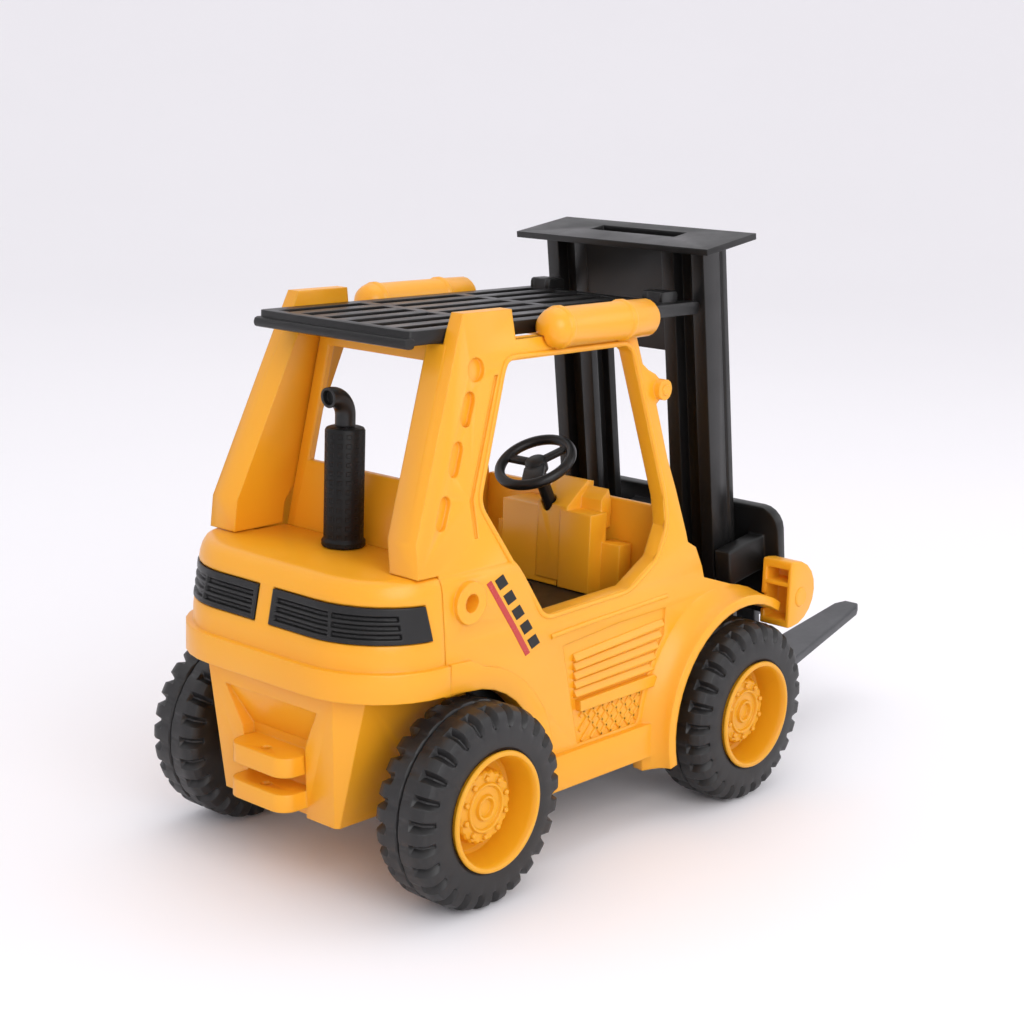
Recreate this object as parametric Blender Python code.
"""Toy forklift truck: +X towards the forks, +Y to the driver's left, +Z up, in metres.

The design is drawn with the rear axle over x = 0 and the ground at z = 0. The last step moves
everything along X, so that the origin is on the ground below the middle of the whole object.
"""

import math

import bmesh
import bpy
from mathutils import Matrix, Vector

GAP = 0.0003  # between pieces that touch
RUNNING_GAP = 0.0005  # between pieces that slide or turn on each other

# Wheels and axles
WHEEL_BASE = 0.128
TYRE_RADIUS = 0.030
TYRE_WIDTH = 0.021
TYRE_OUTER_Y = 0.0595
TYRE_SHOULDER = 0.0032
RIM_RADIUS = 0.018
RIM_LIP = 0.0016
RIM_PROUD = 0.0011
HUB_RADIUS = 0.0105
HUB_SET_BACK = 0.0048
AXLE_RADIUS = 0.002
WHEEL_FACETS = 32

# Body side, rear hood and deck
BODY_HALF = 0.046
BODY_REAR_X = -0.0368
BODY_CORNER = 0.026
SIDE_WALL = 0.005
SHELL_WALL = 0.0025
LEDGE_PROUD = 0.0022
LEDGE_LOW_Z = 0.0635
LEDGE_TOP_Z = 0.072
DECK_Z = 0.097
SEAM_SLOPE = 0.06
SEAM_TOP_X = -0.0102

# Cab frame, which leans inwards above the belt
BELT_Z = 0.0765
CAB_LEAN = 0.1126
HOOD_TAPER = (  # height, and how far the hood's sides and its rear have come in there
    (LEDGE_LOW_Z + 0.001, 0.0, 0.0),
    (BELT_Z, 0.0, 0.0),
    (0.0925, 0.0008, 0.0030),
    (0.0950, 0.0013, 0.0040),
    (0.0964, 0.0020, 0.0053),
    (DECK_Z, 0.0032, 0.0071),
)
PILLAR_FOOT_X = -0.018
PILLAR_KNEE_Z = 0.107
PILLAR_TOP_X = 0.0056
TAB_LENGTH = 0.0204
TAB_TOP_Z = 0.168
PILLAR_THICK = 0.011
RAIL_LOW_Z = 0.1535
RAIL_TOP_Z = 0.1593
RAIL_FRONT_X = 0.0822
REAR_WALL_X = 0.0028
REAR_WALL_SLOPE = 0.116
REAR_WALL_THICK = 0.0028
REAR_WINDOW_LOW_Z = 0.1175
REAR_WINDOW_FLANGE = 0.0045
DOOR = (
    (0.0343, 0.0784),
    (0.0090, 0.1150),
    (0.0225, RAIL_LOW_Z - 0.0017),
    (0.0245, RAIL_LOW_Z),
    (0.0780, RAIL_LOW_Z),
    (0.0805, RAIL_LOW_Z - 0.0020),
    (0.0935, 0.1050),
    (0.0940, 0.0960),
    (0.0885, 0.0868),
    (0.0740, 0.0796),
)

# Wheel arches, fender and sill
REAR_ARCH_RADIUS = 0.0327
REAR_LIP_WIDTH = 0.0065
REAR_LIP_PROUD = 0.0015
FRONT_ARCH_RADIUS = 0.036
FENDER_REACH_Y = 0.054
FENDER_ROOT = 0.008
FENDER_LIP = 0.003
FENDER_TIP_ROOT = 0.0036
FENDER_START = 197.0
FENDER_END = 59.0
SILL_LOW_Z = 0.0223
SILL_TOP_Z = 0.0335
SILL_REAR_X = 0.036
SILL_FRONT_X = 0.091
SILL_PROUD = 0.0022

# Cab inside
FLOOR_Z = 0.0695
FLOOR_THICK = 0.0022
FRONT_WALL_X = 0.1045
FRONT_WALL_TOP_Z = 0.0995
DASH_X = 0.0884
STEER_CENTRE = (0.0815, 0.0, 0.1113)
STEER_RADIUS = 0.0138
STEER_RIM = 0.0015
STEER_TILT = math.radians(29.5)
COLUMN_RADIUS = 0.0022

# Roof guard and the tanks beside it
GUARD_REAR_X = -0.0122
GUARD_FRONT_X = 0.1126
GUARD_HALF = 0.031
GUARD_THICK = 0.0040
GUARD_ROD = 0.0038
GUARD_ROD_DROP = 0.0009
GUARD_BARS = 7
GUARD_BAR_WIDTH = 0.0046
GUARD_CROSS_X = (0.0290, 0.0720)
GUARD_RAIL = 0.0052
TANK_RADIUS = 0.0059
TANK_Y = 0.0378
TANK_RISE = 0.0024
TANK_REAR_X = 0.0379
TANK_FRONT_X = 0.0890
TANK_BANDS = (0.0066, 0.0359)

# Chassis, counterweight and tow hitch
CHASSIS_HALF = 0.034
CHASSIS_REAR_X = 0.0165
CHASSIS_FRONT_X = 0.1365
CHASSIS_LOW_Z = 0.0225
WEIGHT_FRONT_X = CHASSIS_REAR_X - GAP
WEIGHT_LOW_Z = 0.0221
WEIGHT_LOW = ((-0.0288, 0.0235), (-0.0278, 0.0246))
WEIGHT_TOP = ((-0.0335, 0.0265), (-0.0270, 0.0335))
WEIGHT_RECESS_X = -0.0268
HITCH_HALF = 0.0125
HITCH_ROUND = 0.005
HITCH_REACH_X = -0.0385
HITCH_LEVELS = ((0.0255, 0.0308), (0.0360, 0.0418))
HITCH_PIN_HOLE = 0.0016

# Mast, in its own frame: origin on the pivot pin, local z up the mast
MAST_PIVOT = (0.1512, 0.0, 0.030)
MAST_LEAN = math.radians(8.85)
MAST_HALF = 0.0326
UPRIGHT_INNER = 0.0158
UPRIGHT_DEPTH = 0.0125
UPRIGHT_FOOT = -0.012
MAST_TOP = 0.1551
TOP_PLATE_THICK = 0.0020
TOP_PLATE_HALF = 0.0396
TOP_PLATE_REAR = -0.0136
TOP_PLATE_FRONT = 0.0132
REAR_GROOVE_DEPTH = 0.0047
REAR_FLANGE = 0.0048
GUIDE_GROOVE_HALF = 0.0030
GUIDE_GROOVE_DEPTH = 0.0030
PIVOT_RADIUS = 0.002

# Fork carriage and forks, in the mast's frame
CARRIAGE_HALF = 0.045
CARRIAGE_BACK = 0.0140
CARRIAGE_THICK = 0.0040
CARRIAGE_TOP = 0.0610
CARRIAGE_LOW = 0.0220
CARRIAGE_ROUND = 0.0075
LUG_REACH_Y = 0.0392
LUG_LEVELS = (0.0390, 0.0510)
SLIDER_LEVELS = (0.0300, 0.0560)
FORK_TOP = -0.0102
FORK_THICK = 0.0032
FORK_INNER = 0.0110
FORK_ROOT_WIDTH = 0.0205
FORK_TIP_WIDTH = 0.0100
FORK_TIP = 0.1062
FORK_SHANK_TOP = 0.0570

# Exhaust, vents and headlights
EXHAUST_X = -0.0043
MUFFLER_RADIUS = 0.0059
MUFFLER_TOP_Z = 0.1325
EXHAUST_FLANGE = 0.0006
TAIL_PIPE_RADIUS = 0.0031
VENT_LOW_Z = 0.0795
VENT_TOP_Z = 0.0903
VENT_INNER_Y = 0.0028
VENT_END_X = -0.0133
VENT_END_SLOPE = 0.235
VENT_ROUND_END = 105.0  # degrees; the last stretch of a vent is straight
VENT_POCKET = 0.0010
LAMP_REAR_X = 0.1475
LAMP_LENGTH = 0.0148
LAMP_INNER_Y = 0.0460
LAMP_WIDTH = 0.0115
LAMP_LOW_Z = 0.0552
LAMP_TOP_Z = 0.0778
LAMP_SHELF_Z = 0.0698
LAMP_WALL = 0.0016

# Screws under the chassis
SCREW_HEAD = 0.0026
SCREW_HEAD_HEIGHT = 0.0014
SCREW_SHANK = 0.0011
SCREW_SHANK_LENGTH = 0.008

YELLOW = (0.80, 0.36, 0.030)
BLACK = (0.012, 0.012, 0.014)
GREY = (0.045, 0.047, 0.052)
STEEL = (0.55, 0.56, 0.58)


def clear_scene():
    for obj in list(bpy.data.objects):
        bpy.data.objects.remove(obj, do_unlink=True)


def make_material(name, colour, roughness, metallic=0.0):
    material = bpy.data.materials.new(name)
    material.use_nodes = True
    shader = material.node_tree.nodes["Principled BSDF"]
    shader.inputs["Base Color"].default_value = (*colour, 1.0)
    shader.inputs["Roughness"].default_value = roughness
    shader.inputs["Metallic"].default_value = metallic
    return material


def to_mesh(bm, name):
    """A mesh made from bm, with its faces turned out and shaded smooth but for sharp edges."""
    bmesh.ops.recalc_face_normals(bm, faces=bm.faces)
    mesh = bpy.data.meshes.new(name)
    bm.to_mesh(mesh)
    bm.free()
    mesh.shade_smooth()
    mesh.set_sharp_from_angle(angle=math.radians(35))
    return mesh


def link(obj, parent):
    bpy.context.scene.collection.objects.link(obj)
    obj.parent = parent
    return obj


def add_tools(obj, operation, shapes):
    """Joins the shapes to the object, or takes them away from it."""
    for shape in shapes:
        tool_name = f"{obj.name}_tool_{len(obj.modifiers)}"
        tool = link(bpy.data.objects.new(tool_name, to_mesh(shape, tool_name)), obj.parent)
        tool.hide_render = True
        tool.display_type = "WIRE"
        modifier = obj.modifiers.new(tool_name, "BOOLEAN")
        modifier.operation = operation
        modifier.solver = "EXACT"
        modifier.object = tool


def combine(name, material, parent, pieces, cuts=()):
    """One object: the first of pieces, joined to the others, with cuts taken away."""
    obj = bpy.data.objects.new(name, to_mesh(pieces[0], name))
    obj.data.materials.append(material)
    link(obj, parent)
    add_tools(obj, "UNION", pieces[1:])
    add_tools(obj, "DIFFERENCE", cuts)
    return obj


def make_empty(name, location, parent, rotation=(0.0, 0.0, 0.0)):
    empty = bpy.data.objects.new(name, None)
    empty.empty_display_size = 0.01
    empty.location = location
    empty.rotation_euler = rotation
    return link(empty, parent)


def prism(outline, axis, low, high):
    """The outline pushed from low to high along axis. It is in the other two axes, in order."""
    place = {
        "X": lambda a, b, c: (c, a, b),
        "Y": lambda a, b, c: (a, c, b),
        "Z": lambda a, b, c: (a, b, c),
    }[axis]
    bm = bmesh.new()
    first = [bm.verts.new(place(a, b, low)) for a, b in outline]
    last = [bm.verts.new(place(a, b, high)) for a, b in outline]
    bm.faces.new(first)
    bm.faces.new(list(reversed(last)))
    for n in range(len(outline)):
        after = (n + 1) % len(outline)
        bm.faces.new((first[n], last[n], last[after], first[after]))
    return bm


def box(low, high):
    return prism(
        ((low[0], low[1]), (high[0], low[1]), (high[0], high[1]), (low[0], high[1])),
        "Z",
        low[2],
        high[2],
    )


def boxes(corners):
    """Several boxes that don't touch, in one mesh."""
    whole = bmesh.new()
    for low, high in corners:
        part = box(low, high)
        mesh = bpy.data.meshes.new("box")
        part.to_mesh(mesh)
        part.free()
        whole.from_mesh(mesh)
        bpy.data.meshes.remove(mesh)
    return whole


def skinned(rings):
    """A closed shape through several rings of points, with a flat face at each end."""
    bm = bmesh.new()
    made = [[bm.verts.new(point) for point in ring] for ring in rings]
    for here, there in zip(made, made[1:]):
        for n in range(len(here)):
            after = (n + 1) % len(here)
            bm.faces.new((here[n], here[after], there[after], there[n]))
    bm.faces.new(made[0])
    bm.faces.new(made[-1])
    return bm


def arc(centre, radius, start, end, steps):
    """Points on a circle from the angle start to the angle end, in degrees."""
    points = []
    for n in range(steps + 1):
        angle = math.radians(start + (end - start) * n / steps)
        points.append((centre[0] + radius * math.cos(angle), centre[1] + radius * math.sin(angle)))
    return points


def rounded(low, high, radius, steps=4):
    """A rectangle with round corners."""
    corners = (
        ((high[0] - radius, high[1] - radius), 0),
        ((low[0] + radius, high[1] - radius), 90),
        ((low[0] + radius, low[1] + radius), 180),
        ((high[0] - radius, low[1] + radius), 270),
    )
    points = []
    for centre, start in corners:
        points += arc(centre, radius, start, start + 90, steps)
    return points


def turned(profile, steps, turn=360.0):
    """A closed profile of (radius, height) points turned about Z, through turn degrees."""
    bm = bmesh.new()
    rings = []
    whole = turn >= 360.0
    for n in range(steps if whole else steps + 1):
        angle = math.radians(turn * n / steps)
        ring = []
        for radius, height in profile:
            if radius == 0.0 and rings:
                ring.append(rings[0][len(ring)])
            else:
                ring.append(bm.verts.new((radius * math.cos(angle), radius * math.sin(angle), height)))
        rings.append(ring)
    pairs = [(rings[n], rings[(n + 1) % len(rings)]) for n in range(len(rings) if whole else steps)]
    for here, there in pairs:
        for n in range(len(profile)):
            after = (n + 1) % len(profile)
            corners = []
            for vert in (here[n], there[n], there[after], here[after]):
                if vert not in corners:
                    corners.append(vert)
            if len(corners) > 2:
                bm.faces.new(corners)
    if not whole:
        bm.faces.new(rings[0])
        bm.faces.new(list(reversed(rings[-1])))
    return bm


def cylinder(radius, low, high, steps=24):
    return turned(((0.0, low), (radius, low), (radius, high), (0.0, high)), steps)


def moved(bm, matrix):
    bmesh.ops.transform(bm, matrix=matrix, verts=bm.verts)
    return bm


def along_y(bm, x, z, side=1):
    """Turns a shape made about Z so that its axis is Y, pointing away from the truck's middle."""
    turn = Matrix.Rotation(math.radians(-90 * side), 4, "X")
    return moved(bm, Matrix.Translation((x, 0.0, z)) @ turn)


def mirrored(bm, side):
    """The shape as drawn for the left (+Y) side, or its mirror image for side -1."""
    if side < 0:
        moved(bm, Matrix.Scale(-1.0, 4, (0.0, 1.0, 0.0)))
    return bm


def leaning_prism(outline, low, high):
    """A prism from y low to y high that leans in above the belt, as the cab sides do.

    The outline is in X and Z, and has a point wherever it crosses the belt.
    """
    bm = bmesh.new()
    ends = []
    for reach in (low, high):
        ends.append([bm.verts.new((x, reach - CAB_LEAN * max(0.0, z - BELT_Z), z)) for x, z in outline])
    above = [n for n, (_, z) in enumerate(outline) if z >= BELT_Z]
    below = [n for n, (_, z) in enumerate(outline) if z <= BELT_Z]
    for verts in ends:
        for corners in (above, below):
            if len(corners) > 2:
                bm.faces.new([verts[n] for n in corners])
    for n in range(len(outline)):
        after = (n + 1) % len(outline)
        bm.faces.new((ends[0][n], ends[1][n], ends[1][after], ends[0][after]))
    return bm


def cab_half(z, inset=0.0):
    """Half the distance between the cab sides' outer faces at height z, less inset."""
    return BODY_HALF - CAB_LEAN * max(0.0, z - BELT_Z) - inset


def seam_x(z):
    """Where the hood ends and the cab side begins."""
    return SEAM_TOP_X + (DECK_Z - z) * SEAM_SLOPE


def hood_corner(side_in, rear_in, angle, offset=0.0):
    """A plan point on the hood's rear left corner, moved out by offset."""
    centre_x = BODY_REAR_X + BODY_CORNER
    centre_y = BODY_HALF - BODY_CORNER
    turn = math.radians(angle)
    x = centre_x + (BODY_CORNER - rear_in + offset) * math.cos(turn)
    y = centre_y + (BODY_CORNER - side_in + offset) * math.sin(turn)
    return (x, y)


def hood_ring(z, side_in, rear_in, front_x, steps=8):
    """The hood's plan shape at height z: round at the rear corners, open to front_x."""
    left = [(front_x, BODY_HALF - side_in)]
    left += [hood_corner(side_in, rear_in, 90 + 90 * n / steps) for n in range(steps + 1)]
    ring = left + [(x, -y) for x, y in reversed(left)]
    return [(x, y, z) for x, y in ring]


def hood_stack(levels, inset, front_x):
    """The hood's tapered shape through the given levels, made smaller by inset."""
    rings = []
    for z, side_in, rear_in in levels:
        rings.append(hood_ring(z, side_in + inset, rear_in + inset, front_x))
    return skinned(rings)


def hollow_levels(low, top):
    """The levels of the hood's taper between low and top, with a level at each end."""
    inside = [level for level in HOOD_TAPER[1:-1] if level[0] < top - 0.0004]
    return [(low, 0.0, 0.0), *inside, (top, *inside[-1][1:])]


def vent_path(offset, z, margin, steps=8):
    """The plan points of the left vent at height z, from its inner end round the corner."""
    share = (z - BELT_Z) / (HOOD_TAPER[2][0] - BELT_Z)
    side_in = HOOD_TAPER[2][1] * share
    rear_in = HOOD_TAPER[2][2] * share
    end_x = VENT_END_X - (z - VENT_LOW_Z) * VENT_END_SLOPE - margin * 1.1
    reach = end_x - BODY_REAR_X - BODY_CORNER
    last = math.degrees(math.acos(reach / (BODY_CORNER - rear_in + offset)))
    path = [(BODY_REAR_X + rear_in - offset, VENT_INNER_Y + margin)]
    angles = [180 - (180 - VENT_ROUND_END) * n / steps for n in range(steps + 1)]
    for angle in [*angles, last]:
        path.append(hood_corner(side_in, rear_in, angle, offset))
    return path


def vent_band(inner, outer, margin):
    """The curved slab that fills a vent's pocket, made smaller all round by margin."""
    rings = []
    for z in (VENT_LOW_Z + margin, VENT_TOP_Z - margin):
        path = vent_path(outer, z, margin) + list(reversed(vent_path(inner, z, margin)))
        rings.append([(x, y, z) for x, y in path])
    return skinned(rings)


def make_hood(yellow, root):
    upper = hood_stack(HOOD_TAPER, 0.0, 0.0)
    ledge = skinned([hood_ring(z, -LEDGE_PROUD, -LEDGE_PROUD, 0.0) for z in (LEDGE_LOW_Z, LEDGE_TOP_Z)])
    tongue_half = cab_half(DECK_Z, PILLAR_THICK + GAP)
    tongue_front = REAR_WALL_X - GAP - SHELL_WALL * REAR_WALL_SLOPE
    tongue = box((-0.002, -tongue_half, DECK_Z - SHELL_WALL), (tongue_front, tongue_half, DECK_Z))
    hollow = hood_stack(hollow_levels(LEDGE_LOW_Z - 0.01, DECK_Z - SHELL_WALL), SHELL_WALL, 0.01)
    top = DECK_Z + 0.005
    low = LEDGE_LOW_Z - 0.005
    ahead_of_seam = ((seam_x(top), top), (seam_x(low), low), (0.03, low), (0.03, top))
    cuts = [hollow]
    for side in (1, -1):
        cuts.append(mirrored(prism(ahead_of_seam, "Y", tongue_half, 0.06), side))
        cuts.append(mirrored(vent_band(-VENT_POCKET, 0.004, 0.0), side))
    combine("rear_hood", yellow, root, [upper, ledge, tongue], cuts)


def make_vents(black, root):
    for side, name in ((1, "left"), (-1, "right")):
        vent = vent_band(GAP - VENT_POCKET, GAP, GAP)
        combine(f"rear_vent_{name}", black, root, [mirrored(vent, side)])


def side_outline():
    """The cab side in X and Z: rear pillar, roof rail, front pillar, fender, sill and arches."""
    rear_arch = arc((0.0, TYRE_RADIUS), REAR_ARCH_RADIUS, 80, -13, 10)
    front_arch = arc((WHEEL_BASE, TYRE_RADIUS), FRONT_ARCH_RADIUS, FENDER_START, FENDER_END, 15)
    end = math.radians(FENDER_END)
    tip = FRONT_ARCH_RADIUS + FENDER_LIP
    seam_low_z = TYRE_RADIUS + REAR_ARCH_RADIUS - 0.0006
    tab_front_x = PILLAR_TOP_X + TAB_LENGTH
    return (
        [
            (PILLAR_FOOT_X, DECK_Z + GAP),
            (PILLAR_FOOT_X, PILLAR_KNEE_Z),
            (PILLAR_TOP_X, TAB_TOP_Z),
            (tab_front_x, TAB_TOP_Z),
            (tab_front_x + 0.0012, RAIL_TOP_Z),
            (RAIL_FRONT_X, RAIL_TOP_Z),
            (0.0857, 0.1474),
            (0.0885, 0.1453),
            (0.0920, 0.1437),
            (0.0945, 0.1415),
            (0.0954, 0.1388),
            (0.0944, 0.1362),
            (0.0918, 0.1345),
            (0.0964, 0.1172),
            (0.1003, 0.1066),
            (0.1048, 0.0925),
            (0.1056, 0.0892),
            (0.1098, 0.0869),
            (0.1127, 0.0803),
            (0.1136, BELT_Z),
            (0.1297, 0.0714),
            (0.1400, 0.0681),
            (0.1448, 0.0664),
            (WHEEL_BASE + tip * math.cos(end), TYRE_RADIUS + tip * math.sin(end)),
        ]
        + list(reversed(front_arch))
        + [
            (SILL_FRONT_X, SILL_LOW_Z - 0.002),
            (SILL_FRONT_X - 0.001, SILL_LOW_Z + 0.0005),
        ]
        + list(reversed(rear_arch))
        + [
            (seam_x(seam_low_z) + GAP, seam_low_z),
            (seam_x(BELT_Z) + GAP, BELT_Z),
            (seam_x(DECK_Z) + GAP, DECK_Z + GAP),
        ]
    )


def fender_flare():
    """The front fender's flare, swept about the front wheel and thinner towards its tip."""
    inner_y = BODY_HALF - SIDE_WALL + 0.001
    reach = FENDER_REACH_Y - BODY_HALF
    lip = FRONT_ARCH_RADIUS + FENDER_LIP
    steps = 18
    rings = []
    for n in range(steps + 1):
        angle = FENDER_START + (FENDER_END - FENDER_START) * n / steps
        thinning = min(1.0, max(0.0, (115.0 - angle) / (115.0 - FENDER_END))) ** 0.7
        root = FRONT_ARCH_RADIUS + FENDER_ROOT + (FENDER_TIP_ROOT - FENDER_ROOT) * thinning
        profile = [(FRONT_ARCH_RADIUS, inner_y), (root - 0.0004, inner_y), (root, BODY_HALF)]
        for share in (0.25, 0.5, 0.75):
            fall = (root - lip) * (1 - (1 - share) ** 2)
            profile.append((root - fall, BODY_HALF + reach * share))
        profile += [(lip, FENDER_REACH_Y - 0.0004), (FRONT_ARCH_RADIUS, FENDER_REACH_Y)]
        across = math.cos(math.radians(angle))
        up = math.sin(math.radians(angle))
        rings.append([(WHEEL_BASE + r * across, y, TYRE_RADIUS + r * up) for r, y in profile])
    return skinned(rings)


def shoulder():
    """The flat beside the deck between the hood's seam and the door, tapered as the hood is."""
    inner_y = BODY_HALF - SIDE_WALL + 0.001
    front_x = DOOR[0][0]
    rings = []
    for z, side_in, _ in HOOD_TAPER[1:]:
        rear_x = seam_x(z) + GAP + 0.0001
        outer_y = BODY_HALF - side_in
        plan = ((rear_x, inner_y), (front_x, inner_y), (front_x, outer_y), (rear_x, outer_y))
        rings.append([(x, y, z) for x, y in plan])
    return skinned(rings)


def make_cab_side(side, name, yellow, root):
    outer = leaning_prism(side_outline(), BODY_HALF - SIDE_WALL, BODY_HALF)
    pillar = leaning_prism(
        (
            (PILLAR_FOOT_X, DECK_Z + GAP),
            (PILLAR_FOOT_X, PILLAR_KNEE_Z),
            (PILLAR_FOOT_X + (PILLAR_TOP_X - PILLAR_FOOT_X) * 0.848, RAIL_TOP_Z),
            (0.0235, RAIL_TOP_Z),
            (0.0085, 0.1150),
            (0.0015, 0.1040),
            (0.0015, DECK_Z + GAP),
        ),
        BODY_HALF - PILLAR_THICK,
        BODY_HALF - SIDE_WALL + 0.001,
    )
    lip_rear_x = seam_x(LEDGE_LOW_Z) + GAP + 0.0002
    lip = prism(
        [(lip_rear_x, LEDGE_TOP_Z), (0.001, LEDGE_TOP_Z - 0.0005)]
        + arc((0.0, TYRE_RADIUS), REAR_ARCH_RADIUS + REAR_LIP_WIDTH, 80, -8, 9)
        + list(reversed(arc((0.0, TYRE_RADIUS), REAR_ARCH_RADIUS, 80, -8, 9)))
        + [(0.0, TYRE_RADIUS + REAR_ARCH_RADIUS), (lip_rear_x, LEDGE_LOW_Z)],
        "Y",
        BODY_HALF - SIDE_WALL + 0.001,
        BODY_HALF + REAR_LIP_PROUD,
    )
    sill = prism(
        rounded((SILL_REAR_X, SILL_LOW_Z), (SILL_FRONT_X, SILL_TOP_Z), 0.001, 2),
        "Y",
        BODY_HALF - SIDE_WALL + 0.001,
        BODY_HALF + SILL_PROUD,
    )
    boss = along_y(cylinder(0.0062, BODY_HALF - 0.002, BODY_HALF + 0.0010, 20), 0.0008, 0.0882)
    boss_hole = along_y(cylinder(0.0028, BODY_HALF - 0.0035, BODY_HALF + 0.01, 14), 0.0008, 0.0882)
    knob_z = 0.1389
    face = cab_half(knob_z)
    knob = along_y(cylinder(0.0033, face - 0.003, face + 0.0022, 16), 0.0939, knob_z)
    door = prism(DOOR, "Y", 0.0, 0.06)
    tab_back = box((-0.03, 0.0, RAIL_TOP_Z + GAP), (0.06, GUARD_HALF + GAP, TAB_TOP_Z + 0.01))
    pieces = [outer, pillar, shoulder(), lip, sill, fender_flare(), boss, knob]
    cuts = [door, tab_back, boss_hole]
    combine(
        f"cab_side_{name}",
        yellow,
        root,
        [mirrored(piece, side) for piece in pieces],
        [mirrored(cut, side) for cut in cuts],
    )


def sheared_wall(outline):
    """A wall across the cab, pushed along X and slanted as the rear wall is."""
    wall = prism(outline, "X", 0.0, REAR_WALL_THICK)
    for vert in wall.verts:
        vert.co.x += REAR_WALL_X + (vert.co.z - DECK_Z) * REAR_WALL_SLOPE
    return wall


def make_rear_window_frame(yellow, root):
    low = DECK_Z - 0.020
    top = cab_half(RAIL_TOP_Z, PILLAR_THICK + GAP)
    deck = cab_half(DECK_Z, PILLAR_THICK + GAP)
    left_edge = [(deck, low), (deck, DECK_Z), (top, RAIL_TOP_Z)]
    wall = sheared_wall(left_edge + [(-y, z) for y, z in reversed(left_edge)])
    sill = cab_half(REAR_WINDOW_LOW_Z, PILLAR_THICK + GAP + REAR_WINDOW_FLANGE)
    head = cab_half(RAIL_LOW_Z, PILLAR_THICK + GAP + REAR_WINDOW_FLANGE)
    corners = [(sill, REAR_WINDOW_LOW_Z), (head, RAIL_LOW_Z - 0.001)]
    window = prism(corners + [(-y, z) for y, z in reversed(corners)], "X", -0.02, 0.04)
    combine("rear_window_frame", yellow, root, [wall], [window])


def make_front_wall(yellow, root):
    half = cab_half(FRONT_WALL_TOP_Z, SIDE_WALL + GAP)
    wall = box(
        (FRONT_WALL_X - SHELL_WALL, -half, FLOOR_Z - FLOOR_THICK - 0.010),
        (FRONT_WALL_X, half, FRONT_WALL_TOP_Z),
    )
    combine("front_wall", yellow, root, [wall])


def make_front_rail(yellow, root):
    half = cab_half(RAIL_TOP_Z, SIDE_WALL + GAP + 0.0001)
    rail = prism(
        rounded((0.0735, RAIL_LOW_Z), (RAIL_FRONT_X - 0.001, RAIL_TOP_Z), 0.0012, 2),
        "Y",
        -half,
        half,
    )
    combine("roof_front_rail", yellow, root, [rail])


def make_roof_guard(black, root):
    low = RAIL_TOP_Z + GAP
    top = low + GUARD_THICK
    outline = rounded((GUARD_REAR_X + 0.0017, -GUARD_HALF), (GUARD_FRONT_X, GUARD_HALF), 0.002, 2)
    plate = prism(outline, "Z", low, top)
    rod_low = low - GUARD_ROD_DROP
    rod = rounded((GUARD_REAR_X, rod_low), (GUARD_REAR_X + GUARD_ROD, rod_low + 0.0030), 0.0012, 2)
    mast_face = MAST_PIVOT[0] - UPRIGHT_DEPTH / 2 / math.cos(MAST_LEAN)
    mast_face -= (top - MAST_PIVOT[2]) * math.tan(MAST_LEAN)
    rail_front = mast_face - RUNNING_GAP
    rails = [prism(rod, "Y", -GUARD_HALF, GUARD_HALF)]
    rail = rounded((GUARD_FRONT_X - 0.01, low), (rail_front, top), 0.0016, 2)
    pad_low = (GUARD_FRONT_X - 0.0045, top - 0.001)
    pad_high = (GUARD_FRONT_X + 0.0035, top + 0.0034)
    pad = rounded(pad_low, pad_high, 0.0012, 2)
    for side in (1, -1):
        rails.append(mirrored(prism(rail, "Y", GUARD_HALF - GUARD_RAIL, GUARD_HALF), side))
        rails.append(mirrored(prism(pad, "Y", GUARD_HALF - 0.0115, GUARD_HALF - 0.0035), side))
    pitch = (2 * GUARD_HALF - GUARD_BAR_WIDTH) / (GUARD_BARS - 1)
    stops = [GUARD_REAR_X + 0.0056, *GUARD_CROSS_X, GUARD_FRONT_X - 0.004]
    slots = []
    for bar in range(GUARD_BARS - 1):
        start = -GUARD_HALF + GUARD_BAR_WIDTH + bar * pitch
        end = start + pitch - GUARD_BAR_WIDTH
        for number in range(len(stops) - 1):
            rear = stops[number] + (0.0021 if number else 0.0)
            front = stops[number + 1] - (0.0021 if number + 2 < len(stops) else 0.0)
            slots.append(((rear, start, low - 0.01), (front, end, top + 0.01)))
    combine("roof_guard", black, root, [plate, *rails], [boxes(slots)])


def make_tank(side, name, yellow, root):
    length = TANK_FRONT_X - TANK_REAR_X
    band = 0.0005
    profile = [(0.0, 0.0)]
    for degrees in (60, 35, 12):
        angle = math.radians(degrees)
        profile.append((TANK_RADIUS * math.cos(angle), 0.0050 * (1 - math.sin(angle))))
    for centre in TANK_BANDS:
        profile += [
            (TANK_RADIUS, centre - 0.0012),
            (TANK_RADIUS + band, centre - 0.0007),
            (TANK_RADIUS + band, centre + 0.0007),
            (TANK_RADIUS, centre + 0.0012),
        ]
    for degrees in (12, 35, 60):
        angle = math.radians(degrees)
        profile.append((TANK_RADIUS * math.cos(angle), length - 0.0040 * (1 - math.sin(angle))))
    profile.append((0.0, length))
    turn = Matrix.Rotation(math.radians(90), 4, "Y")
    place = Matrix.Translation((TANK_REAR_X, side * TANK_Y, RAIL_TOP_Z + TANK_RISE))
    body = moved(turned(profile, 20), place @ turn)
    rear = TANK_REAR_X - 0.01
    front = TANK_FRONT_X + 0.01
    rail_room = box((rear, 0.0, RAIL_LOW_Z - 0.02), (front, cab_half(RAIL_LOW_Z) + GAP, RAIL_TOP_Z + GAP))
    guard_room = box((rear, 0.0, RAIL_TOP_Z), (front, GUARD_HALF + GAP, RAIL_TOP_Z + 0.02))
    cuts = [mirrored(rail_room, side), mirrored(guard_room, side)]
    combine(f"roof_tank_{name}", yellow, root, [body], cuts)


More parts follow.
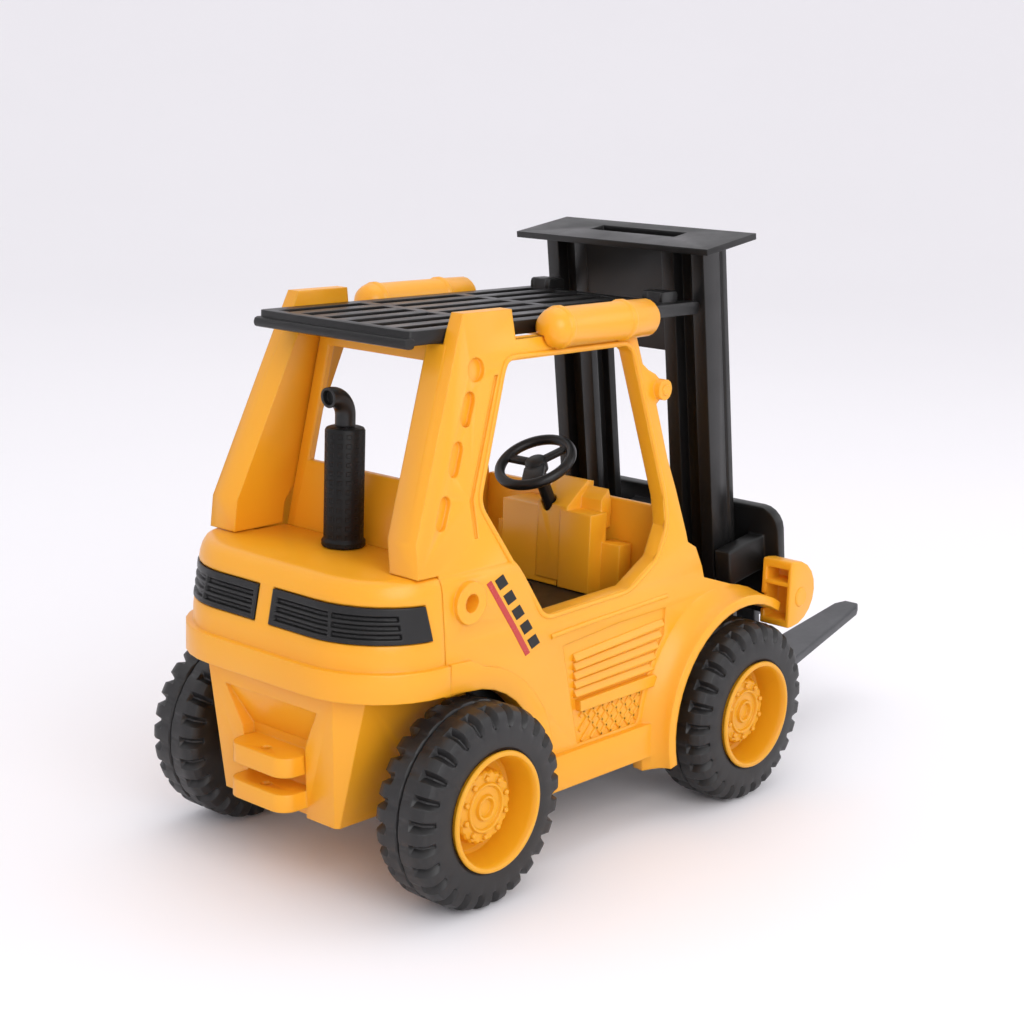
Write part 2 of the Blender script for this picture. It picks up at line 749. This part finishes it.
def make_floor(black, root):
    half = BODY_HALF - SIDE_WALL - GAP
    rear = REAR_WALL_X + REAR_WALL_THICK + GAP
    floor = box((rear, -half, FLOOR_Z - FLOOR_THICK), (FRONT_WALL_X - SHELL_WALL - GAP, half, FLOOR_Z))
    combine("cab_floor", black, root, [floor])


def make_seat(black, root):
    low = FLOOR_Z + GAP
    cushion = prism(rounded((0.0400, low), (0.0660, low + 0.0075), 0.0022, 3), "Y", -0.0140, 0.0140)
    back = prism(
        (
            (0.0330, low),
            (0.0410, low),
            (0.0410, low + 0.0060),
            (0.0352, low + 0.0170),
            (0.0326, low + 0.0180),
            (0.0295, low + 0.0165),
        ),
        "Y",
        -0.0135,
        0.0135,
    )
    combine("seat", black, root, [cushion, back])


def make_dash(yellow, root):
    low = FLOOR_Z + GAP
    front = FRONT_WALL_X - SHELL_WALL - GAP
    main = box((DASH_X, -0.0050, low), (front, 0.0192, 0.0955))
    shroud = prism(
        (
            (DASH_X - 0.0004, low + 0.002),
            (front - 0.0005, low + 0.002),
            (front - 0.0005, 0.1040),
            (0.0980, 0.1046),
            (DASH_X - 0.0004, 0.0970),
        ),
        "Y",
        -0.0088,
        0.0036,
    )
    block = box((DASH_X - 0.0006, -0.0188, low), (0.0962, -0.0060, 0.0957))
    gauge = prism(
        (
            (0.0950, 0.0900),
            (front - 0.0015, 0.0900),
            (front - 0.0015, 0.0990),
            (0.0985, 0.1030),
            (0.0950, 0.0995),
        ),
        "Y",
        -0.0172,
        -0.0080,
    )
    shelf = box((0.0940, -0.0262, low), (front - 0.0015, -0.0180, 0.0862))
    step = box((DASH_X + 0.0060, 0.0180, low), (front - 0.0015, 0.0262, 0.0862))
    place = Matrix.Translation(STEER_CENTRE) @ Matrix.Rotation(-STEER_TILT, 4, "Y")
    bore = moved(cylinder(COLUMN_RADIUS + RUNNING_GAP, -0.030, 0.0, 14), place)
    combine("dash_console", yellow, root, [main, shroud, block, gauge, shelf, step], [bore])


def make_steering(black, root):
    """The wheel on its column, turned about the column's own axis."""
    pivot = make_empty("steering_axis", STEER_CENTRE, root, (0.0, -STEER_TILT, 0.0))
    circle = STEER_RADIUS - STEER_RIM
    rim = turned([(circle + r, h) for r, h in arc((0.0, 0.0), STEER_RIM, 0, 315, 7)], 28)
    hub = cylinder(0.0036, -0.0034, 0.0008, 14)
    spokes = []
    for angle in (90, 210, 330):
        spoke = box((0.001, -0.0013, -0.0014), (circle, 0.0013, 0.0002))
        spokes.append(moved(spoke, Matrix.Rotation(math.radians(angle), 4, "Z")))
    combine("steering_wheel", black, pivot, [rim, hub, *spokes])
    column = cylinder(COLUMN_RADIUS, -0.0250, -0.0034 - GAP, 14)
    combine("steering_column", black, pivot, [column])


def make_chassis(black, root):
    top = FLOOR_Z - FLOOR_THICK - GAP
    half = CHASSIS_HALF
    tub = box((CHASSIS_REAR_X, -half, CHASSIS_LOW_Z), (CHASSIS_FRONT_X - 0.0360, half, top))
    nose = box((CHASSIS_FRONT_X - 0.0380, -half, CHASSIS_LOW_Z), (CHASSIS_FRONT_X, half, 0.0440))
    bracket_half = UPRIGHT_INNER - RUNNING_GAP
    pivot_x, _, pivot_z = MAST_PIVOT
    bracket = prism(
        [(CHASSIS_FRONT_X - 0.001, pivot_z - 0.0055)]
        + arc((pivot_x, pivot_z), 0.0055, -90, 90, 6)
        + [(CHASSIS_FRONT_X - 0.001, pivot_z + 0.0095)],
        "Y",
        -bracket_half,
        bracket_half,
    )
    hollow = box(
        (CHASSIS_REAR_X + SHELL_WALL, SHELL_WALL - half, CHASSIS_LOW_Z + SHELL_WALL),
        (CHASSIS_FRONT_X - 0.0360 - SHELL_WALL, half - SHELL_WALL, top + 0.01),
    )
    axle = along_y(cylinder(AXLE_RADIUS + RUNNING_GAP, -0.06, 0.06, 16), WHEEL_BASE, TYRE_RADIUS)
    pin = along_y(cylinder(PIVOT_RADIUS + GAP, -0.06, 0.06, 16), pivot_x, pivot_z)
    screws = below_screw_holes(screw_places()[2:], CHASSIS_LOW_Z)
    combine("chassis", black, root, [tub, nose, bracket], [hollow, axle, pin, *screws])


def screw_places():
    rear_x = WEIGHT_FRONT_X - 0.005
    nose_x = CHASSIS_FRONT_X - 0.018
    return ((rear_x, 0.013), (rear_x, -0.013), (nose_x, 0.022), (nose_x, -0.022))


def below_screw_holes(places, low):
    """Cuts for the screws' heads and shanks, from a face at height low upwards."""
    cuts = []
    for x, y in places:
        place = Matrix.Translation((x, y, low))
        head = cylinder(SCREW_HEAD + GAP, -0.001, SCREW_HEAD_HEIGHT + GAP, 12)
        shank = cylinder(SCREW_SHANK + GAP, -0.001, SCREW_HEAD_HEIGHT + SCREW_SHANK_LENGTH + 0.001, 12)
        cuts += [moved(head, place), moved(shank, place)]
    return cuts


def make_counterweight(yellow, root):
    top = LEDGE_LOW_Z - GAP
    rings = []
    for z, ((rear, rear_half), (corner, half)) in ((WEIGHT_LOW_Z, WEIGHT_LOW), (top, WEIGHT_TOP)):
        right = [(rear, -rear_half), (corner, -half), (WEIGHT_FRONT_X, -half)]
        ring = right + [(x, -y) for x, y in reversed(right)]
        rings.append([(x, y, z) for x, y in ring])
    body = skinned(rings)
    rise, recess_top = 0.0450, 0.0565
    low_half, high_half = 0.0135, 0.0195
    slot_outline = ((-0.011, 0.010), (0.011, 0.010), (low_half, rise), (-low_half, rise))
    slot = prism(slot_outline, "X", -0.05, WEIGHT_RECESS_X)
    slope_ends = []
    for low_x, high_x in ((-0.05, -0.05), (WEIGHT_RECESS_X, WEIGHT_RECESS_X - 0.0050)):
        low_z = rise - 0.0005
        foot = [(low_x, -low_half, low_z), (low_x, low_half, low_z)]
        slope_ends.append([*foot, (high_x, high_half, recess_top), (high_x, -high_half, recess_top)])
    slope = skinned(slope_ends)
    hollow = box(
        (WEIGHT_RECESS_X + SHELL_WALL, -0.0215, WEIGHT_LOW_Z + 0.0055),
        (WEIGHT_FRONT_X - SHELL_WALL, 0.0215, top + 0.01),
    )
    hitch_end = WEIGHT_RECESS_X + 0.001
    lugs = []
    for low_z, high_z in HITCH_LEVELS:
        centre_x = HITCH_REACH_X + HITCH_ROUND
        centre_y = HITCH_HALF - HITCH_ROUND
        outline = arc((centre_x, centre_y), HITCH_ROUND, 90, 180, 5)
        outline += arc((centre_x, -centre_y), HITCH_ROUND, 180, 270, 5)
        outline += [(hitch_end, -HITCH_HALF), (hitch_end, HITCH_HALF)]
        lugs.append(prism(outline, "Z", low_z, high_z))
    pin_low = HITCH_LEVELS[0][0] - 0.01
    pin_top = HITCH_LEVELS[1][1] + 0.01
    pin_place = Matrix.Translation((HITCH_REACH_X + 0.0045, 0.0, 0.0))
    pin_hole = moved(cylinder(HITCH_PIN_HOLE, pin_low, pin_top, 12), pin_place)
    axle = along_y(cylinder(AXLE_RADIUS + RUNNING_GAP, -0.06, 0.06, 16), 0.0, TYRE_RADIUS)
    screws = below_screw_holes(screw_places()[:2], WEIGHT_LOW_Z)
    # The lugs go on after the recess is cut, so the recess is cut from the body alone.
    bare = combine("counterweight", yellow, root, [body], [slot, slope, hollow])
    add_tools(bare, "UNION", lugs)
    add_tools(bare, "DIFFERENCE", [pin_hole, axle, *screws])


def make_screws(steel, root):
    names = ("rear_screw_left", "rear_screw_right", "front_screw_left", "front_screw_right")
    for number, (x, y) in enumerate(screw_places()):
        low = WEIGHT_LOW_Z if number < 2 else CHASSIS_LOW_Z
        profile = (
            (0.0, low),
            (SCREW_HEAD, low),
            (SCREW_HEAD, low + SCREW_HEAD_HEIGHT),
            (SCREW_SHANK, low + SCREW_HEAD_HEIGHT),
            (SCREW_SHANK, low + SCREW_HEAD_HEIGHT + SCREW_SHANK_LENGTH - 0.001),
            (0.0, low + SCREW_HEAD_HEIGHT + SCREW_SHANK_LENGTH),
        )
        screw = moved(turned(profile, 12), Matrix.Translation((x, y, 0.0)))
        slot = box((x - 0.0018, y - 0.0003, low - 0.001), (x + 0.0018, y + 0.0003, low + 0.0006))
        combine(names[number], steel, root, [screw], [slot])


def tyre_profile():
    """Radius against distance from the tyre's outer face, with a groove round the middle."""
    bore = RIM_RADIUS - RIM_LIP + 0.0008 + GAP
    round_in = TYRE_SHOULDER
    middle = TYRE_WIDTH / 2
    return (
        (bore, 0.0004),
        (RIM_RADIUS + 0.0012, 0.0),
        (TYRE_RADIUS - round_in * 1.3, 0.0002),
        (TYRE_RADIUS - round_in * 0.35, 0.0012),
        (TYRE_RADIUS, round_in),
        (TYRE_RADIUS, middle - 0.0007),
        (TYRE_RADIUS - 0.0010, middle),
        (TYRE_RADIUS, middle + 0.0007),
        (TYRE_RADIUS, TYRE_WIDTH - round_in),
        (TYRE_RADIUS - round_in * 0.35, TYRE_WIDTH - 0.0012),
        (TYRE_RADIUS - round_in * 1.3, TYRE_WIDTH - 0.0002),
        (bore, TYRE_WIDTH),
    )


def rim_profile():
    """The rim from its closed cap round to the bore that holds the axle's end."""
    outer = RIM_RADIUS - RIM_LIP + 0.0008
    dish = RIM_RADIUS - RIM_LIP
    floor = RIM_PROUD + 0.0105
    cap = RIM_PROUD + HUB_SET_BACK
    back = TYRE_WIDTH * 0.8
    bore = AXLE_RADIUS + GAP
    return (
        (0.0, cap - 0.0012),
        (0.0030, cap - 0.0010),
        (0.0036, cap),
        (HUB_RADIUS - 0.0010, cap + 0.0002),
        (HUB_RADIUS, cap + 0.0012),
        (HUB_RADIUS + 0.0006, floor),
        (dish - 0.0014, floor),
        (dish, RIM_PROUD + 0.0006),
        (dish + 0.0004, 0.0),
        (RIM_RADIUS - 0.0003, 0.0),
        (RIM_RADIUS, 0.0004),
        (RIM_RADIUS - 0.0001, RIM_PROUD - GAP),
        (outer, RIM_PROUD + 0.0002),
        (outer, back),
        (outer - 0.0016, back),
        (outer - 0.0020, floor + 0.0020),
        (bore + 0.0022, floor + 0.0020),
        (bore + 0.0020, back - 0.001),
        (bore, back - 0.001),
        (bore, cap + 0.0020),
        (0.0, cap + 0.0020),
    )


def make_wheelset(place, x, materials, root):
    yellow, black, steel = materials
    axis = make_empty(f"{place}_axle_axis", (x, 0.0, TYRE_RADIUS), root)
    reach = TYRE_OUTER_Y - HUB_SET_BACK - 0.0030
    axle = along_y(cylinder(AXLE_RADIUS, -reach, reach, 16), 0.0, 0.0)
    combine(f"{place}_axle", steel, axis, [axle])
    # Turned by half a facet, so that each tyre stands on a flat.
    flat_down = Matrix.Rotation(math.pi / WHEEL_FACETS, 4, "Z")
    outward = 1 / math.cos(math.pi / WHEEL_FACETS)
    for side, name in ((1, "left"), (-1, "right")):
        tyre = turned([(r * outward, TYRE_OUTER_Y - d) for r, d in tyre_profile()], WHEEL_FACETS)
        combine(f"{place}_tyre_{name}", black, axis, [along_y(moved(tyre, flat_down), 0.0, 0.0, side)])
        rim_face = TYRE_OUTER_Y + RIM_PROUD
        rim = turned([(r, rim_face - d) for r, d in rim_profile()], WHEEL_FACETS)
        combine(f"{place}_rim_{name}", yellow, axis, [along_y(moved(rim, flat_down), 0.0, 0.0, side)])


def make_exhaust(black, root):
    base_z = DECK_Z + GAP
    flange = MUFFLER_RADIUS + EXHAUST_FLANGE
    profile = (
        (0.0, base_z),
        (flange, base_z),
        (flange, base_z + 0.0018),
        (MUFFLER_RADIUS, base_z + 0.0026),
        (MUFFLER_RADIUS, MUFFLER_TOP_Z - 0.0012),
        (MUFFLER_RADIUS - 0.0012, MUFFLER_TOP_Z),
        (0.0, MUFFLER_TOP_Z),
    )
    can = moved(turned(profile, 20), Matrix.Translation((EXHAUST_X, 0.0, 0.0)))
    combine("exhaust_muffler", black, root, [can])
    bend = 0.0058
    start = Vector((EXHAUST_X, 0.0, MUFFLER_TOP_Z + GAP))
    straight = 0.0030
    path = [start, start + Vector((0.0, 0.0, straight))]
    for n in range(1, 7):
        angle = math.radians(90 * n / 6)
        path.append(start + Vector((-bend * (1 - math.cos(angle)), 0.0, straight + bend * math.sin(angle))))
    path.append(path[-1] + Vector((-0.0012, 0.0, -0.0001)))
    bm = bmesh.new()
    rings = []
    sides = 12
    for n, point in enumerate(path):
        ahead = (path[min(n + 1, len(path) - 1)] - path[max(n - 1, 0)]).normalized()
        across = Vector((0.0, 1.0, 0.0))
        up = ahead.cross(across)
        ring = []
        for k in range(sides):
            turn = 2 * math.pi * k / sides
            spoke = math.cos(turn) * across + math.sin(turn) * up
            ring.append(bm.verts.new(point + TAIL_PIPE_RADIUS * spoke))
        rings.append(ring)
    for here, there in zip(rings, rings[1:]):
        for k in range(sides):
            after = (k + 1) % sides
            bm.faces.new((here[k], here[after], there[after], there[k]))
    bm.faces.new(rings[0])
    bm.faces.new(rings[-1])
    mouth = cylinder(TAIL_PIPE_RADIUS - 0.0009, -0.0030, 0.0010, 12)
    last = (path[-1] - path[-2]).normalized()
    turn = Vector((0.0, 0.0, 1.0)).rotation_difference(last).to_matrix().to_4x4()
    moved(mouth, Matrix.Translation(path[-1]) @ turn)
    combine("exhaust_tail_pipe", black, root, [bm], [mouth])


def make_headlight(side, name, yellow, root):
    front_x = LAMP_REAR_X + LAMP_LENGTH
    flat = 0.0025
    half_height = (LAMP_TOP_Z - LAMP_LOW_Z) / 2
    outline = [(LAMP_REAR_X, LAMP_LOW_Z)]
    for n in range(11):
        angle = math.radians(-90 + 18 * n)
        x = LAMP_REAR_X + flat + (LAMP_LENGTH - flat) * math.cos(angle)
        outline.append((x, LAMP_LOW_Z + half_height * (1 + math.sin(angle))))
    outline.append((LAMP_REAR_X, LAMP_TOP_Z))
    inner = LAMP_INNER_Y + LAMP_WALL
    outer = LAMP_INNER_Y + LAMP_WIDTH - LAMP_WALL
    shell = prism(outline, "Y", LAMP_INNER_Y, LAMP_INNER_Y + LAMP_WIDTH)
    rear = LAMP_REAR_X - 0.01
    depth = front_x - 0.0070
    shelf = LAMP_WALL / 2
    low = LAMP_LOW_Z + LAMP_WALL * 1.5
    top = LAMP_TOP_Z - LAMP_WALL * 1.8
    hollows = boxes(
        (
            ((rear, inner, LAMP_SHELF_Z + shelf), (depth, outer, top)),
            ((rear, inner, low), (depth, outer, LAMP_SHELF_Z - shelf)),
        )
    )
    end = math.radians(FENDER_END)
    tip_top = TYRE_RADIUS + (FRONT_ARCH_RADIUS + FENDER_TIP_ROOT) * math.sin(end) + 0.0014
    tip_low = TYRE_RADIUS + FRONT_ARCH_RADIUS * math.sin(end) - 0.0008
    tip_end = WHEEL_BASE + (FRONT_ARCH_RADIUS + FENDER_TIP_ROOT) * math.cos(end) + GAP
    tip_room = box((rear, 0.0, tip_low), (tip_end, FENDER_REACH_Y + GAP, tip_top))
    cuts = [mirrored(hollows, side), mirrored(tip_room, side)]
    combine(f"headlight_{name}", yellow, root, [mirrored(shell, side)], cuts)


def upright(side):
    """One mast upright with its rear groove, the carriage's guide groove and an outer line."""
    back = -UPRIGHT_DEPTH / 2
    front = UPRIGHT_DEPTH / 2
    outline = (
        (back, UPRIGHT_INNER),
        (-GUIDE_GROOVE_HALF, UPRIGHT_INNER),
        (-GUIDE_GROOVE_HALF, UPRIGHT_INNER + GUIDE_GROOVE_DEPTH),
        (GUIDE_GROOVE_HALF, UPRIGHT_INNER + GUIDE_GROOVE_DEPTH),
        (GUIDE_GROOVE_HALF, UPRIGHT_INNER),
        (front, UPRIGHT_INNER),
        (front, MAST_HALF),
        (front - 0.0022, MAST_HALF),
        (front - 0.0026, MAST_HALF - 0.0006),
        (front - 0.0034, MAST_HALF - 0.0006),
        (front - 0.0038, MAST_HALF),
        (back, MAST_HALF),
        (back, MAST_HALF - REAR_FLANGE),
        (back + REAR_GROOVE_DEPTH, MAST_HALF - REAR_FLANGE),
        (back + REAR_GROOVE_DEPTH, UPRIGHT_INNER + REAR_FLANGE),
        (back, UPRIGHT_INNER + REAR_FLANGE),
    )
    return mirrored(prism(outline, "Z", UPRIGHT_FOOT, MAST_TOP - TOP_PLATE_THICK + 0.0005), side)


def make_mast(black, steel, root):
    tilt = make_empty("mast_tilt_axis", MAST_PIVOT, root, (0.0, -MAST_LEAN, 0.0))
    plate = box(
        (TOP_PLATE_REAR, -TOP_PLATE_HALF, MAST_TOP - TOP_PLATE_THICK),
        (TOP_PLATE_FRONT, TOP_PLATE_HALF, MAST_TOP),
    )
    back = -UPRIGHT_DEPTH / 2
    tie_half = UPRIGHT_INNER + 0.002
    web = box((back + 0.0004, -tie_half, 0.1180), (back + 0.0026, tie_half, MAST_TOP - 0.001))
    tie = box((back + 0.0004, -tie_half, 0.0120), (back + 0.0026, tie_half, 0.0200))
    slot = box((-0.0012, -0.0175, MAST_TOP - 0.01), (0.0058, 0.0175, MAST_TOP + 0.01))
    pin_hole = along_y(cylinder(PIVOT_RADIUS + RUNNING_GAP, -0.06, 0.06, 16), 0.0, 0.0)
    combine("mast_frame", black, tilt, [upright(1), upright(-1), plate, web, tie], [slot, pin_hole])
    pin = cylinder(PIVOT_RADIUS, -MAST_HALF - 0.001, MAST_HALF + 0.001, 16)
    pin = along_y(pin, MAST_PIVOT[0], MAST_PIVOT[2])
    combine("mast_pivot_pin", steel, root, [pin])
    return tilt


def make_carriage(black, grey, tilt):
    lift = make_empty("carriage_lift_axis", (0.0, 0.0, 0.0), tilt)
    front = CARRIAGE_BACK + CARRIAGE_THICK
    plate = prism(
        [(-CARRIAGE_HALF, CARRIAGE_LOW), (CARRIAGE_HALF, CARRIAGE_LOW)]
        + arc((CARRIAGE_HALF - CARRIAGE_ROUND, CARRIAGE_TOP - CARRIAGE_ROUND), CARRIAGE_ROUND, 0, 90, 5)
        + arc((CARRIAGE_ROUND - CARRIAGE_HALF, CARRIAGE_TOP - CARRIAGE_ROUND), CARRIAGE_ROUND, 90, 180, 5),
        "X",
        CARRIAGE_BACK,
        front,
    )
    pieces = [plate]
    for side in (1, -1):
        lug = box(
            (-UPRIGHT_DEPTH / 2, MAST_HALF + RUNNING_GAP, LUG_LEVELS[0]),
            (CARRIAGE_BACK + 0.001, LUG_REACH_Y, LUG_LEVELS[1]),
        )
        pieces.append(mirrored(lug, side))
    slider_half = UPRIGHT_INNER - RUNNING_GAP
    tongue_half = UPRIGHT_INNER + GUIDE_GROOVE_DEPTH - RUNNING_GAP
    tongue_depth = GUIDE_GROOVE_HALF - RUNNING_GAP
    low, high = SLIDER_LEVELS
    pieces.append(
        box((-tongue_depth, -slider_half, low), (CARRIAGE_BACK + 0.001, slider_half, high))
    )
    pieces.append(box((-tongue_depth, -tongue_half, low), (tongue_depth, tongue_half, high)))
    combine("fork_carriage", black, lift, pieces)
    root_x = front + GAP
    for side, name in ((1, "left"), (-1, "right")):
        low = FORK_TOP - FORK_THICK
        inner, outer = FORK_INNER, FORK_INNER + FORK_ROOT_WIDTH
        shank = box((root_x, inner, low), (root_x + FORK_THICK, outer, FORK_SHANK_TOP))
        blade = prism(
            (
                (root_x, inner),
                (FORK_TIP - 0.0045, inner),
                (FORK_TIP, inner + 0.0022),
                (FORK_TIP, inner + FORK_TIP_WIDTH - 0.0022),
                (FORK_TIP - 0.0045, inner + FORK_TIP_WIDTH),
                (root_x + FORK_THICK, outer),
                (root_x, outer),
            ),
            "Z",
            low,
            FORK_TOP,
        )
        combine(f"fork_{name}", grey, lift, [mirrored(shank, side), mirrored(blade, side)])


def centre_on_origin(root):
    """Moves the root along X, so that the origin is below the middle of the object's box."""
    bpy.context.view_layer.update()
    graph = bpy.context.evaluated_depsgraph_get()
    reach = []
    for obj in bpy.context.scene.objects:
        if obj.type != "MESH" or obj.hide_render:
            continue
        evaluated = obj.evaluated_get(graph)
        mesh = evaluated.to_mesh()
        reach += [(evaluated.matrix_world @ vert.co).x for vert in mesh.vertices]
        evaluated.to_mesh_clear()
    root.location.x = -(min(reach) + max(reach)) / 2


def main():
    clear_scene()
    yellow = make_material("yellow_plastic", YELLOW, 0.32)
    black = make_material("black_plastic", BLACK, 0.40)
    rubber = make_material("tyre_plastic", BLACK, 0.55)
    grey = make_material("grey_plastic", GREY, 0.45)
    steel = make_material("steel", STEEL, 0.30, 1.0)
    root = make_empty("truck", (0.0, 0.0, 0.0), None)
    make_hood(yellow, root)
    make_vents(black, root)
    for side, name in ((1, "left"), (-1, "right")):
        make_cab_side(side, name, yellow, root)
        make_tank(side, name, yellow, root)
        make_headlight(side, name, yellow, root)
    make_rear_window_frame(yellow, root)
    make_front_wall(yellow, root)
    make_front_rail(yellow, root)
    make_roof_guard(black, root)
    make_floor(black, root)
    make_seat(black, root)
    make_dash(yellow, root)
    make_steering(black, root)
    make_chassis(black, root)
    make_counterweight(yellow, root)
    make_screws(steel, root)
    make_exhaust(black, root)
    make_wheelset("rear", 0.0, (yellow, rubber, steel), root)
    make_wheelset("front", WHEEL_BASE, (yellow, rubber, steel), root)
    tilt = make_mast(black, steel, root)
    make_carriage(black, grey, tilt)
    centre_on_origin(root)


main()
